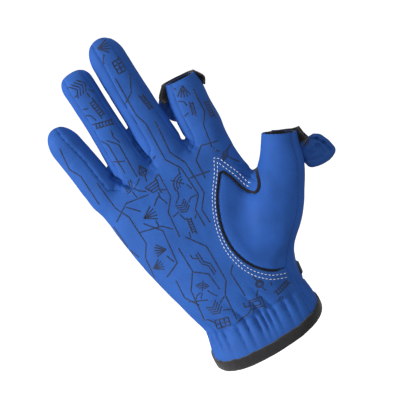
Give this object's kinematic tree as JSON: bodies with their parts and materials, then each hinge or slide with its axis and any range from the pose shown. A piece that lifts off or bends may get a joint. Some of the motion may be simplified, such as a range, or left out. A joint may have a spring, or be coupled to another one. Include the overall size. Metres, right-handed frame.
{
  "type": "fishing glove",
  "caption": "Right-hand stretch-cloth fishing glove with a gathered wrist, a curved stitched thumb inset, and index and thumb fingertip caps folded back.",
  "frame": {"origin": "centre of the wrist opening at the hem", "axes": "+Z from the wrist to the fingertips, +X toward the thumb, -Y out of the palm"},
  "size_m": [0.163, 0.0554, 0.2333],
  "materials": {
    "printed_cloth": "smooth stretch knit with a thin dark line print",
    "plain_cloth": "smooth stretch knit",
    "black_binding": "matt woven binding",
    "black_lining": "matt brushed lining"
  },
  "bodies": {
    "root": {"palm_panel": "printed_cloth", "back_panel": "plain_cloth", "thumb_panel": "plain_cloth", "thumb_edging": "black_binding", "side_strip_little_ring": "plain_cloth", "side_strip_ring_middle": "plain_cloth", "side_strip_middle_index": "plain_cloth", "cuff_binding": "black_binding", "wrist_tab": "black_binding", "index_cap": "plain_cloth", "index_cap_lining": "black_lining", "thumb_cap": "plain_cloth", "thumb_cap_lining": "black_lining"}
  },
  "joints": []
}
